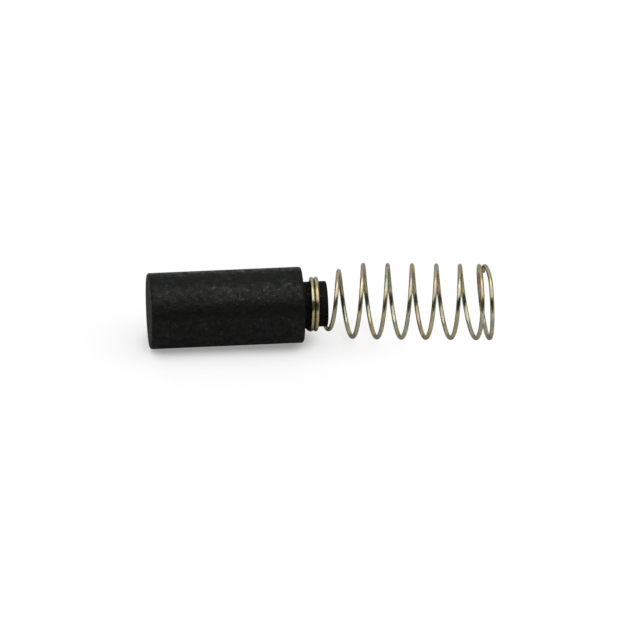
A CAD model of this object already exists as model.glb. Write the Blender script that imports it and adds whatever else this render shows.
import math

import bpy
from mathutils import Matrix, Vector


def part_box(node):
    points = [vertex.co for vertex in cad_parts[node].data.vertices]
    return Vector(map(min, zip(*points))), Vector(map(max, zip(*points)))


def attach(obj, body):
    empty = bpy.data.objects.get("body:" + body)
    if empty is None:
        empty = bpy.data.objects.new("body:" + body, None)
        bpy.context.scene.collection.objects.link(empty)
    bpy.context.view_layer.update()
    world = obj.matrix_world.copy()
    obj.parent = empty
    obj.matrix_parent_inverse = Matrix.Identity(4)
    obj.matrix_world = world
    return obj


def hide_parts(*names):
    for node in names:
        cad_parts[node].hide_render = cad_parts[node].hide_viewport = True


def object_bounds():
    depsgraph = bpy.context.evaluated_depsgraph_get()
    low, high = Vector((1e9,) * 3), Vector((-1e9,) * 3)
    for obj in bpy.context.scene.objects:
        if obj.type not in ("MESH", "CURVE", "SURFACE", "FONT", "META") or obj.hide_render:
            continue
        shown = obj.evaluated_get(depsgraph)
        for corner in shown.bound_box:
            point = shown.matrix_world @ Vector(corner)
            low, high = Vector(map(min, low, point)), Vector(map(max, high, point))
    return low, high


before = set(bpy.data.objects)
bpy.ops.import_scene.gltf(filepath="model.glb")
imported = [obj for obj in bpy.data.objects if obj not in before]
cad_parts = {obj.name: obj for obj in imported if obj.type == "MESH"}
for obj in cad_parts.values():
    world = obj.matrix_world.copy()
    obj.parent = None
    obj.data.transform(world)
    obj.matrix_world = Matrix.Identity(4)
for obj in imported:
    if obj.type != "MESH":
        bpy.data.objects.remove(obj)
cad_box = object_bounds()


# Camera
# A long lens looks at the brush from one side and lies on its own side, so that the brush lies
# across the view. It stands a little past the contact face, which shows as a thin crescent.
MM = 0.001
aim = Vector((0.52, 0, 10.25)) * MM
view_width = 39 * MM
camera_distance = 1.0
axis_rise = math.radians(2.46)
face_swing = math.radians(4.5)

depth = Vector((0, 1, 0))
along = Vector((math.sin(axis_rise), 0, math.cos(axis_rise)))
view_up = Vector((-math.cos(axis_rise), 0, math.sin(axis_rise)))
looking = math.cos(face_swing) * depth + math.sin(face_swing) * along
view_right = math.cos(face_swing) * along - math.sin(face_swing) * depth

lens = bpy.data.cameras.new("camera")
lens.lens = lens.sensor_width * camera_distance / view_width
lens.clip_start = camera_distance / 10
lens.clip_end = camera_distance * 10
camera = bpy.data.objects.new("camera", lens)
bpy.context.scene.collection.objects.link(camera)
camera.matrix_world = Matrix.LocRotScale(
    aim - camera_distance * looking,
    Matrix((view_right, view_up, -looking)).transposed().to_quaternion(),
    None,
)
bpy.context.scene.camera = camera


# Carbon block
# Carbon and graphite powder, pressed and baked into a hard matte black rod. The boss that holds the
# spring is turned down on its end, and the grain of the pressed powder breaks along every edge.
face_chamfer = 0.1 * MM
shoulder_round = 0.16 * MM
boss_round = 0.1 * MM
root_fillet = 0.15 * MM
body_l = 9.63 * MM
boss_r = 1.425 * MM
mesh_step = 0.065 * MM
arc_steps = 6
block_sides = 240


def straight(start, end):
    """Points from start up to, but not with, end, no further apart than the mesh step."""
    count = max(1, math.ceil((end - start).length / mesh_step))
    return [start.lerp(end, i / count) for i in range(count)]


def quarter(centre, radius, angle, sweep):
    """Points of a quarter arc, without its last one."""
    turns = [math.radians(angle + sweep * i / arc_steps) for i in range(arc_steps)]
    return [centre + radius * Vector((math.cos(a), math.sin(a))) for a in turns]


def block_section(body_r, top):
    """Half section as (radius, height), from the middle of the face to the middle of the boss."""
    shoulder = Vector((body_r - shoulder_round, body_l - shoulder_round))
    root = Vector((boss_r + root_fillet, body_l + root_fillet))
    rim = Vector((boss_r - boss_round, top - boss_round))
    wall_foot = Vector((body_r, face_chamfer))
    face_rim = Vector((body_r - face_chamfer, 0))
    return (
        straight(Vector((0, 0)), face_rim)
        + straight(face_rim, wall_foot)
        + straight(wall_foot, Vector((body_r, shoulder.y)))
        + quarter(shoulder, shoulder_round, 0, 90)
        + straight(Vector((shoulder.x, body_l)), Vector((root.x, body_l)))
        + quarter(root, root_fillet, 270, -90)
        + straight(Vector((boss_r, root.y)), Vector((boss_r, rim.y)))
        + quarter(rim, boss_round, 0, 90)
        + straight(Vector((rim.x, top)), Vector((0, top)))
        + [Vector((0, top))]
    )


def turned_mesh(name, section, sides):
    """Mesh of a half section turned round Z, with one point at each pole."""
    first, last = section[0], section[-1]
    rows = section[1:-1]
    points = [(0, 0, first.y)]
    for row in rows:
        for k in range(sides):
            a = 2 * math.pi * k / sides
            points.append((row.x * math.cos(a), row.x * math.sin(a), row.y))
    points.append((0, 0, last.y))
    faces = []
    for k in range(sides):
        side, following = 1 + k, 1 + (k + 1) % sides
        faces.append((0, following, side))
        for i in range(len(rows) - 1):
            low, high = i * sides, (i + 1) * sides
            faces.append((side + low, following + low, following + high, side + high))
        top = (len(rows) - 1) * sides
        faces.append((side + top, following + top, len(points) - 1))
    mesh = bpy.data.meshes.new(name)
    mesh.from_pydata(points, [], faces)
    mesh.update()
    return mesh


def node_in(tree, kind, inputs=None, **settings):
    """New node in a tree. An input is a value or the socket that feeds it."""
    node = tree.nodes.new(kind)
    for key, value in settings.items():
        setattr(node, key, value)
    for key, value in (inputs or {}).items():
        if isinstance(value, bpy.types.NodeSocket):
            tree.links.new(value, node.inputs[key])
        else:
            node.inputs[key].default_value = value
    return node


def maths(tree, operation, a, b=0.0, c=0.0):
    """Result of one Math node."""
    return node_in(tree, "ShaderNodeMath", {0: a, 1: b, 2: c}, operation=operation).outputs[0]


def smooth_share(tree, value, start, end, low=0.0, high=1.0):
    """Socket that goes smoothly from low to high while value goes from start to end."""
    sockets = {"Value": value, "From Min": start, "From Max": end, "To Min": low, "To Max": high}
    return node_in(tree, "ShaderNodeMapRange", sockets, interpolation_type="SMOOTHSTEP").outputs[0]


def noise(tree, vector, scale, detail=2.0, roughness=0.5, distortion=0.0):
    """Factor of a noise texture on a vector."""
    sockets = {
        "Vector": vector,
        "Scale": scale,
        "Detail": detail,
        "Roughness": roughness,
        "Distortion": distortion,
    }
    return node_in(tree, "ShaderNodeTexNoise", sockets).outputs["Fac"]


def new_material(name):
    """Material with its Principled shader, and that shader."""
    material = bpy.data.materials.new(name)
    material.use_nodes = True
    return material, material.node_tree.nodes["Principled BSDF"]


def ramp(tree, factor, stops):
    """Colour ramp on a factor, from (place, colour) stops."""
    node = node_in(tree, "ShaderNodeValToRGB", {"Fac": factor})
    elements = node.color_ramp.elements
    while len(elements) < len(stops):
        elements.new(1.0)
    for element, (place, colour) in zip(elements, stops):
        element.position = place
        element.color = (*colour, 1)
    return node.outputs["Color"]


def mixed_colour(tree, factor, first, second):
    """Colour between two colours."""
    sockets = {"Factor": factor, 6: first, 7: second}
    return node_in(tree, "ShaderNodeMix", sockets, data_type="RGBA").outputs[2]


# Patterns in the carbon, in waves a metre
mottle_scale = 2300
grain_scale = 11000
fleck_scale = 4200
tinge_scale = 900
# Share of the fine grain in the speckle, and the values of a pattern between which it goes from the
# darkest to the brightest grains, from none to a full fleck, and from warm to cool
fine_share = 0.3
speckle_span = (0.38, 0.62)
fleck_span = (0.56, 0.76)
tinge_span = (0.4, 0.6)
# Heights over which the ground contact face ends and the turned boss begins
face_span = (0.07 * MM, 0.03 * MM)
boss_span = (body_l + 0.02 * MM, body_l + 0.12 * MM)
# Light given back by shiny graphite and by matt powder, in the darkest and the brightest grains
shine = (0.0046, 0.0128)
powder = (0.0083, 0.0053)
ground_powder = (0.027, 0.046)
boss_powder = 0.0062
# Shine that a fleck adds, and the share of all shine that is left on the cut face and boss
fleck_shine = 0.02
cut_shine = 0.45
# Roughness of the darkest and the brightest grains, and what flecks and cut surfaces add to it
grain_roughness = (0.45, 0.3)
fleck_roughness = -0.15
cut_roughness = 0.25
warm_tinge = (0.99, 0.97, 0.91)
cool_tinge = (0.935, 1.0, 0.945)
boss_tinge = (1.08, 0.98, 0.91, 1)
grazing_tint = (0.7, 0.7, 0.7, 1)
grain_relief = 0.055 * MM
fine_relief = 0.15

carbon, carbon_shader = new_material("pressed_carbon")
tree = carbon.node_tree
place = node_in(tree, "ShaderNodeTexCoord").outputs["Object"]
mottle = noise(tree, place, mottle_scale, detail=3, roughness=0.6)
grain = noise(tree, place, grain_scale, detail=3, roughness=0.65)
coarse = maths(tree, "MULTIPLY", mottle, 1 - fine_share)
speckle = maths(tree, "MULTIPLY_ADD", grain, fine_share, coarse)
flecks = noise(tree, place, fleck_scale, detail=2, roughness=0.5, distortion=1.0)
fleck = smooth_share(tree, flecks, *fleck_span)
height = node_in(tree, "ShaderNodeSeparateXYZ", {0: place}).outputs["Z"]
on_face = smooth_share(tree, height, *face_span)
on_boss = smooth_share(tree, height, *boss_span)
cut = maths(tree, "MAXIMUM", on_face, on_boss)


def by_grain(levels):
    """Value that goes from the level of the darkest grains of the carbon to that of the brightest."""
    return smooth_share(tree, speckle, *speckle_span, *levels)


sheen = maths(tree, "MULTIPLY_ADD", fleck, fleck_shine, by_grain(shine))
sheen = maths(tree, "MULTIPLY", sheen, smooth_share(tree, cut, 0, 1, 1, cut_shine))
matt = smooth_share(tree, on_boss, 0, 1, by_grain(powder), boss_powder)
matt = maths(tree, "MULTIPLY_ADD", on_face, by_grain(ground_powder), matt)
shade = maths(tree, "ADD", sheen, matt)
tinges = noise(tree, place, tinge_scale, detail=2)
tinge = ramp(tree, tinges, list(zip(tinge_span, (warm_tinge, cool_tinge))))
tinge = mixed_colour(tree, on_boss, tinge, boss_tinge)
base = node_in(tree, "ShaderNodeVectorMath", {0: tinge, "Scale": shade}, operation="SCALE")
tree.links.new(base.outputs[0], carbon_shader.inputs["Base Color"])
tree.links.new(maths(tree, "DIVIDE", sheen, shade), carbon_shader.inputs["Metallic"])
rough = maths(tree, "MULTIPLY_ADD", fleck, fleck_roughness, by_grain(grain_roughness))
rough = maths(tree, "MULTIPLY_ADD", cut, cut_roughness, rough)
tree.links.new(rough, carbon_shader.inputs["Roughness"])
carbon_shader.inputs["Specular IOR Level"].default_value = 0.0
carbon_shader.inputs["Specular Tint"].default_value = grazing_tint
relief = maths(tree, "MULTIPLY_ADD", grain, fine_relief, mottle)
bump = node_in(tree, "ShaderNodeBump", {"Height": relief, "Strength": 1.0, "Distance": grain_relief})
tree.links.new(bump.outputs["Normal"], carbon_shader.inputs["Normal"])


def tree_with_inputs(name, sizes):
    """Geometry Nodes tree with a named number for each size, and its input and output nodes."""
    tree = bpy.data.node_groups.new(name, "GeometryNodeTree")
    face = tree.interface
    face.new_socket("Geometry", in_out="INPUT", socket_type="NodeSocketGeometry")
    for label in sizes:
        face.new_socket(label, in_out="INPUT", socket_type="NodeSocketFloat")
    face.new_socket("Geometry", in_out="OUTPUT", socket_type="NodeSocketGeometry")
    return tree, tree.nodes.new("NodeGroupInput").outputs, tree.nodes.new("NodeGroupOutput")


def finish_tree(tree, geometry, out, material):
    """Ends a tree in Realize Instances and Set Material."""
    real = node_in(tree, "GeometryNodeRealizeInstances", {"Geometry": geometry})
    dressed = node_in(
        tree, "GeometryNodeSetMaterial", {"Geometry": real.outputs[0], "Material": material}
    )
    tree.links.new(dressed.outputs[0], out.inputs[0])


def made_by_tree(name, mesh, tree, sizes):
    """Plain mesh object of what a tree makes from a mesh with these sizes."""
    seed = bpy.data.objects.new(name + "_seed", mesh)
    bpy.context.scene.collection.objects.link(seed)
    modifier = seed.modifiers.new("tree", "NODES")
    modifier.node_group = tree
    for item in tree.interface.items_tree:
        if item.in_out == "INPUT" and item.name in sizes:
            modifier[item.identifier] = float(sizes[item.name])
    graph = bpy.context.evaluated_depsgraph_get()
    made = bpy.data.meshes.new_from_object(seed.evaluated_get(graph), depsgraph=graph)
    bpy.data.objects.remove(seed)
    made.name = name
    made.shade_smooth()
    piece = bpy.data.objects.new(name, made)
    bpy.context.scene.collection.objects.link(piece)
    return piece


grain_sizes = {
    "Grain depth": 0.008 * MM,
    "Grain size": 0.16 * MM,
    "Chip depth": 0.05 * MM,
    "Chip size": 0.35 * MM,
}
# Slopes between which an edge chips, as the height of the normal, and how much of it is chipped
wall_span = (0.05, 0.4)
flat_span = (0.98, 0.75)
chip_span = (0.5, 0.66)

tree, sizes_in, out = tree_with_inputs("pressed_grain", grain_sizes)
here = node_in(tree, "GeometryNodeInputPosition").outputs[0]
outward = node_in(tree, "GeometryNodeInputNormal").outputs["Normal"]
pits = noise(tree, here, maths(tree, "DIVIDE", 1, sizes_in["Grain size"]), detail=2)
pit_depth = maths(tree, "MULTIPLY", pits, sizes_in["Grain depth"])
chips = noise(tree, here, maths(tree, "DIVIDE", 1, sizes_in["Chip size"]), detail=2)
upright = node_in(tree, "ShaderNodeSeparateXYZ", {0: outward}).outputs["Z"]
upright = maths(tree, "ABSOLUTE", upright)
past_wall = smooth_share(tree, upright, *wall_span)
short_of_flat = smooth_share(tree, upright, *flat_span)
on_edge = maths(tree, "MULTIPLY", past_wall, short_of_flat)
chipped = maths(tree, "MULTIPLY", on_edge, smooth_share(tree, chips, *chip_span))
chip_depth = maths(tree, "MULTIPLY", chipped, sizes_in["Chip depth"])
lifted = maths(tree, "MULTIPLY", maths(tree, "ADD", pit_depth, chip_depth), -1)
moved = node_in(tree, "ShaderNodeVectorMath", {0: outward, "Scale": lifted}, operation="SCALE")
pressed = node_in(
    tree, "GeometryNodeSetPosition", {"Geometry": sizes_in["Geometry"], "Offset": moved.outputs[0]}
)
finish_tree(tree, pressed.outputs[0], out, carbon)

body_r, _, boss_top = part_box("carbon_block")[1]
section = block_section(body_r, boss_top)
rod = turned_mesh("carbon_rod", section, block_sides)
block = made_by_tree("carbon_rod", rod, tree, grain_sizes)
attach(block, "root")
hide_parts("carbon_block")


# Pressure spring
# One drawn spring-steel wire with a thin yellow plating, wound left-handed: a seat turn on the
# shoulder, turns that grip the boss, open turns that lean a little, and a closed end whose tip is
# pressed down to the turn below.
wire_r = 0.135 * MM
seat_clearance = 0.012 * MM
spring_sizes = {
    "Wire radius": wire_r,
    "Grip radius": boss_r + seat_clearance + wire_r,
    "Open radius": 2.26 * MM,
    "Seat height": body_l + seat_clearance + wire_r,
    "Grip pitch": 0.285 * MM,
    "Open pitch": 1.528 * MM,
    "End pitch": 0.59 * MM,
    "Seat step": 0.22 * MM,
    "Step from": 0.28,
    "Step turns": 0.14,
    "Grip turns": 1.98,
    "Knee turns": 0.14,
    "End from": 8.62,
    "End knee turns": 0.2,
    "Turns": 9.98,
    "Flare lag": 0.2,
    "Flare turns": 1.4,
    "Lean": math.tan(math.radians(2.9)),
    "Lean cross": boss_top + 3.33 * MM,
    "Open tilt": math.sin(math.radians(-1.3)),
    "End tilt": math.sin(math.radians(2.6)),
    "End tilt turns": 3.6,
    "Tip drop": 0.27 * MM,
    "Tip turns": 0.26,
    "Start angle": math.radians(144),
}
turn_rings = 120
wire_sides = 24

# Patterns in the plating, in waves a metre, and the values between which they change the wire
stain_scale = 850
bare_scale = 420
stain_span = (0.3, 0.7)
bare_span = (0.45, 0.7)
# Colours of the plating from greenish to reddish, and of the steel where it has worn thin
plating_stops = [
    (0.32, (0.28, 0.305, 0.225)),
    (0.42, (0.445, 0.43, 0.3)),
    (0.51, (0.4, 0.37, 0.19)),
    (0.6, (0.42, 0.32, 0.17)),
    (0.68, (0.37, 0.3, 0.255)),
]
bare_steel = (0.36, 0.335, 0.305, 1)
most_bare = 0.6
wire_grazing_tint = (0.62, 0.57, 0.56, 1)
wire_roughness = (0.18, 0.31)

wire, wire_shader = new_material("plated_wire")
tree = wire.node_tree
place = node_in(tree, "ShaderNodeTexCoord").outputs["Object"]
stain = noise(tree, place, stain_scale, detail=2, roughness=0.5, distortion=0.3)
plating = ramp(tree, stain, plating_stops)
worn = noise(tree, place, bare_scale, detail=2)
bare = smooth_share(tree, worn, *bare_span, 0, most_bare)
tree.links.new(mixed_colour(tree, bare, plating, bare_steel), wire_shader.inputs["Base Color"])
wire_shader.inputs["Metallic"].default_value = 1.0
wire_shader.inputs["Specular Tint"].default_value = wire_grazing_tint
rough = smooth_share(tree, stain, *stain_span, *wire_roughness)
tree.links.new(rough, wire_shader.inputs["Roughness"])

tree, sizes_in, out = tree_with_inputs("wound_wire", spring_sizes)


def between(value, start, width):
    """Smooth change from 0 to 1 over width turns from start, in the wire's tree."""
    return smooth_share(tree, value, start, maths(tree, "ADD", start, width))


def centred(value, middle, width):
    """Smooth change from 0 to 1 over width turns round the middle, in the wire's tree."""
    half = maths(tree, "MULTIPLY", width, 0.5)
    return between(value, maths(tree, "SUBTRACT", middle, half), width)


def mixed_number(factor, first, second):
    """Number between two numbers, in the wire's tree."""
    return node_in(tree, "ShaderNodeMix", {"Factor": factor, 2: first, 3: second}).outputs[0]


# Turn and size of the coil at each ring of the wire
index = node_in(tree, "GeometryNodeInputIndex").outputs[0]
turn = maths(tree, "DIVIDE", index, turn_rings)
middle_turn = maths(tree, "ADD", turn, 0.5 / turn_rings)
flare_from = maths(tree, "ADD", sizes_in["Grip turns"], sizes_in["Flare lag"])
flare = between(turn, flare_from, sizes_in["Flare turns"])
coil_r = mixed_number(flare, sizes_in["Grip radius"], sizes_in["Open radius"])

# Climb of the coil, as the sum of the pitch up to each ring
opened = centred(middle_turn, sizes_in["Grip turns"], sizes_in["Knee turns"])
closed = centred(middle_turn, sizes_in["End from"], sizes_in["End knee turns"])
pitch = mixed_number(opened, sizes_in["Grip pitch"], sizes_in["Open pitch"])
pitch = mixed_number(closed, pitch, sizes_in["End pitch"])
ring_climb = maths(tree, "DIVIDE", pitch, turn_rings)
climbed = node_in(tree, "GeometryNodeAccumulateField", {"Value": ring_climb}).outputs["Trailing"]
stepped = between(turn, sizes_in["Step from"], sizes_in["Step turns"])
stepped = maths(tree, "MULTIPLY", stepped, sizes_in["Seat step"])
climb = maths(tree, "ADD", maths(tree, "ADD", climbed, stepped), sizes_in["Seat height"])

# Place round the coil, and how far the coil leans, tilts and drops its tip
angle = maths(tree, "SUBTRACT", sizes_in["Start angle"], maths(tree, "MULTIPLY", turn, 2 * math.pi))
across = maths(tree, "MULTIPLY", coil_r, maths(tree, "COSINE", angle))
deep = maths(tree, "MULTIPLY", coil_r, maths(tree, "SINE", angle))
above_cross = maths(tree, "SUBTRACT", climb, sizes_in["Lean cross"])
leaned = maths(tree, "MULTIPLY", maths(tree, "MULTIPLY", flare, sizes_in["Lean"]), above_cross)
tilt_from = maths(tree, "SUBTRACT", sizes_in["Turns"], sizes_in["End tilt turns"])
end_share = between(turn, tilt_from, sizes_in["End tilt turns"])
tilt = mixed_number(end_share, sizes_in["Open tilt"], sizes_in["End tilt"])
tilted = maths(tree, "MULTIPLY", maths(tree, "MULTIPLY", tilt, flare), across)
tip_from = maths(tree, "SUBTRACT", sizes_in["Turns"], sizes_in["Tip turns"])
dropped = between(turn, tip_from, sizes_in["Tip turns"])
dropped = maths(tree, "MULTIPLY", dropped, sizes_in["Tip drop"])

# Line of points, moved to the wire's path and swept with a round section
wire_x = maths(tree, "ADD", across, leaned)
wire_z = maths(tree, "SUBTRACT", maths(tree, "ADD", climb, tilted), dropped)
on_path = node_in(tree, "ShaderNodeCombineXYZ", {"X": wire_x, "Y": deep, "Z": wire_z})
rings = maths(tree, "ADD", maths(tree, "MULTIPLY", sizes_in["Turns"], turn_rings), 1.5)
line = node_in(tree, "GeometryNodeMeshLine", {"Count": rings})
wound = node_in(
    tree, "GeometryNodeSetPosition", {"Geometry": line.outputs[0], "Position": on_path.outputs[0]}
)
path = node_in(tree, "GeometryNodeMeshToCurve", {"Mesh": wound.outputs[0]})
profile = node_in(
    tree,
    "GeometryNodeCurvePrimitiveCircle",
    {"Resolution": wire_sides, "Radius": sizes_in["Wire radius"]},
)
swept = node_in(
    tree,
    "GeometryNodeCurveToMesh",
    {"Curve": path.outputs[0], "Profile Curve": profile.outputs[0], "Fill Caps": True},
)
finish_tree(tree, swept.outputs[0], out, wire)

spring = made_by_tree("wire_spring", bpy.data.meshes.new("wire_spring"), tree, spring_sizes)
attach(spring, "root")
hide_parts("pressure_spring")


# Table and floor
# The brush lies against a white table that stands upright behind it, and stands on a white floor.
# Both keep its shadow, are plain white further off, and are clear from behind and to the lamps.
table_reach = 400 * MM
table_turn = math.radians(33)
paper_colour = (0.6, 0.6, 0.6, 1)
# How far inside the ends of the body the fade to white starts, and how much of it comes first
line_inset = 1 * MM
first_fade = 0.6


def stage_material(name, fill, near, far):
    """Paper with a fill of plain white, which fades to white from near the brush to far from it."""
    material = bpy.data.materials.new(name)
    material.use_nodes = True
    tree = material.node_tree
    tree.nodes.clear()
    seen = node_in(tree, "ShaderNodeLightPath").outputs
    eye = maths(tree, "MAXIMUM", seen["Is Camera Ray"], seen["Is Transmission Ray"])

    # Distance from a line along the axis of the carbon, a little shorter than its body
    place = node_in(tree, "ShaderNodeTexCoord").outputs["Object"]
    spot = node_in(tree, "ShaderNodeSeparateXYZ", {0: place}).outputs
    past = maths(tree, "ABSOLUTE", maths(tree, "SUBTRACT", spot["Z"], body_l / 2))
    past = maths(tree, "MAXIMUM", maths(tree, "SUBTRACT", past, body_l / 2 - line_inset), 0)
    off = node_in(tree, "ShaderNodeCombineXYZ", {"X": spot["X"], "Y": spot["Y"], "Z": past})
    away = node_in(tree, "ShaderNodeVectorMath", {0: off.outputs[0]}, operation="LENGTH")
    away = away.outputs["Value"]

    # Lit paper that keeps the shadow, and plain white that comes in close round the brush and again
    # further off, or where the shine of the brush mirrors what is far away
    lit = node_in(tree, "ShaderNodeBsdfDiffuse", {"Color": paper_colour})
    top_up = node_in(tree, "ShaderNodeEmission", {"Strength": maths(tree, "MULTIPLY", eye, fill)})
    paper = node_in(tree, "ShaderNodeAddShader", {0: lit.outputs[0], 1: top_up.outputs[0]})
    white = node_in(tree, "ShaderNodeEmission", {"Strength": 1.0})
    around = smooth_share(tree, away, near, 3 * near, 0, first_fade)
    beyond = smooth_share(tree, away, 4 * near, far, 0, 1 - first_fade)
    faded = maths(tree, "MULTIPLY", eye, maths(tree, "ADD", around, beyond))
    mirrored = maths(tree, "MULTIPLY", seen["Is Glossy Ray"], smooth_share(tree, away, far, 4 * far))
    faded = maths(tree, "MAXIMUM", faded, mirrored)
    front = node_in(tree, "ShaderNodeMixShader", {0: faded, 1: paper.outputs[0], 2: white.outputs[0]})

    # Clear from behind, and to the light of the lamps
    behind = node_in(tree, "ShaderNodeNewGeometry").outputs["Backfacing"]
    gone = maths(tree, "MAXIMUM", behind, seen["Is Shadow Ray"])
    clear = node_in(tree, "ShaderNodeBsdfTransparent")
    one_sided = node_in(tree, "ShaderNodeMixShader", {0: gone, 1: front.outputs[0], 2: clear.outputs[0]})
    node_in(tree, "ShaderNodeOutputMaterial", {"Surface": one_sided.outputs[0]})
    return material


def stage_plane(name, centre, normal, material):
    """Square stage plane round a centre, facing along normal."""
    turn = normal.to_track_quat("Z", "Y").to_matrix()
    corners = [(-1, -1, 0), (1, -1, 0), (1, 1, 0), (-1, 1, 0)]
    mesh = bpy.data.meshes.new(name)
    mesh.from_pydata([turn @ Vector(c) * table_reach for c in corners], [], [(0, 1, 2, 3)])
    mesh.materials.append(material)
    plane = bpy.data.objects.new(name, mesh)
    plane.location = centre
    bpy.context.scene.collection.objects.link(plane)
    return plane


# The table touches the foot of the carbon, and the spring at the coil that reaches furthest
cad_low, cad_high = cad_box
table_up = Vector((-math.cos(table_turn), -math.sin(table_turn), 0))
spring_rise = max((-table_up.dot(v.co) - body_r) / v.co.z for v in spring.data.vertices)
table_normal = (table_up + Vector((0, 0, spring_rise))).normalized()
table_white = stage_material("table_white", fill=0.3, near=0.75 * MM, far=9 * MM)
stage_plane("table", -body_r * table_up, table_normal, table_white)

floor_white = stage_material("floor_white", fill=0.5, near=1.3 * MM, far=8 * MM)
floor = stage_plane("floor", Vector((0, 0, cad_low[2])), Vector((0, 0, 1)), floor_white)
# The floor is only seen: it neither lights the brush nor shows in its shine
floor.visible_diffuse = False
floor.visible_glossy = False
floor.visible_shadow = False


# Light
# A broad soft box above the brush as it lies in the view, and a dim one behind it, in a room with
# dark walls and a paler ceiling and far wall. The carbon is paler along its upper half, and the
# bright wire shows dark bands where it mirrors the walls.
wall_reach = 1400 * MM
dark_level = 0.045
pale_level = 0.8
room = bpy.data.worlds.new("room")
room.use_nodes = True
room.node_tree.nodes["Background"].inputs["Color"].default_value = (1, 1, 1, 1)
bpy.context.scene.world = room


def wall_material(name, level):
    """Even dim surface of the room."""
    material = bpy.data.materials.new(name)
    material.use_nodes = True
    tree = material.node_tree
    tree.nodes.clear()
    dim = node_in(tree, "ShaderNodeEmission", {"Strength": level})
    node_in(tree, "ShaderNodeOutputMaterial", {"Surface": dim.outputs[0]})
    return material


# Ceiling, low wall, near wall, far wall and the walls past both ends of the brush
corners = [Vector((x, y, z)) * wall_reach for x in (-1, 1) for y in (-1, 1) for z in (-1, 1)]
sides = [(0, 1, 3, 2), (4, 6, 7, 5), (0, 4, 5, 1), (2, 3, 7, 6), (0, 2, 6, 4), (1, 5, 7, 3)]
pale_sides = (0, 3)
mesh = bpy.data.meshes.new("dark_walls")
mesh.from_pydata(corners, [], sides)
mesh.materials.append(wall_material("dark_walls", dark_level))
mesh.materials.append(wall_material("pale_walls", pale_level))
for i in pale_sides:
    mesh.polygons[i].material_index = 1
studio = bpy.data.objects.new("dark_walls", mesh)
bpy.context.scene.collection.objects.link(studio)
studio.visible_camera = False
studio.visible_transmission = False


def soft_box(name, raised, distance, height, width, radiance):
    """Rectangular lamp, raised from the camera's side towards the top of the view."""
    towards = Vector((-math.sin(raised), -math.cos(raised), 0))
    sideways = Vector((0, 0, 1))
    upwards = towards.cross(sideways)
    lamp = bpy.data.lights.new(name, "AREA")
    lamp.shape = "RECTANGLE"
    lamp.size = width
    lamp.size_y = height
    lamp.energy = radiance * math.pi * width * height
    box = bpy.data.objects.new(name, lamp)
    box.location = distance * towards + (cad_low[2] + cad_high[2]) / 2 * sideways
    box.rotation_mode = "QUATERNION"
    box.rotation_quaternion = Matrix((sideways, upwards, towards)).transposed().to_quaternion()
    box.visible_camera = False
    bpy.context.scene.collection.objects.link(box)


soft_box("upper_box", math.radians(45), distance=0.5, height=0.56, width=5.0, radiance=1.7)
soft_box("back_box", math.radians(205), distance=0.5, height=0.5, width=2.0, radiance=0.6)

bpy.context.scene.view_settings.view_transform = "Standard"
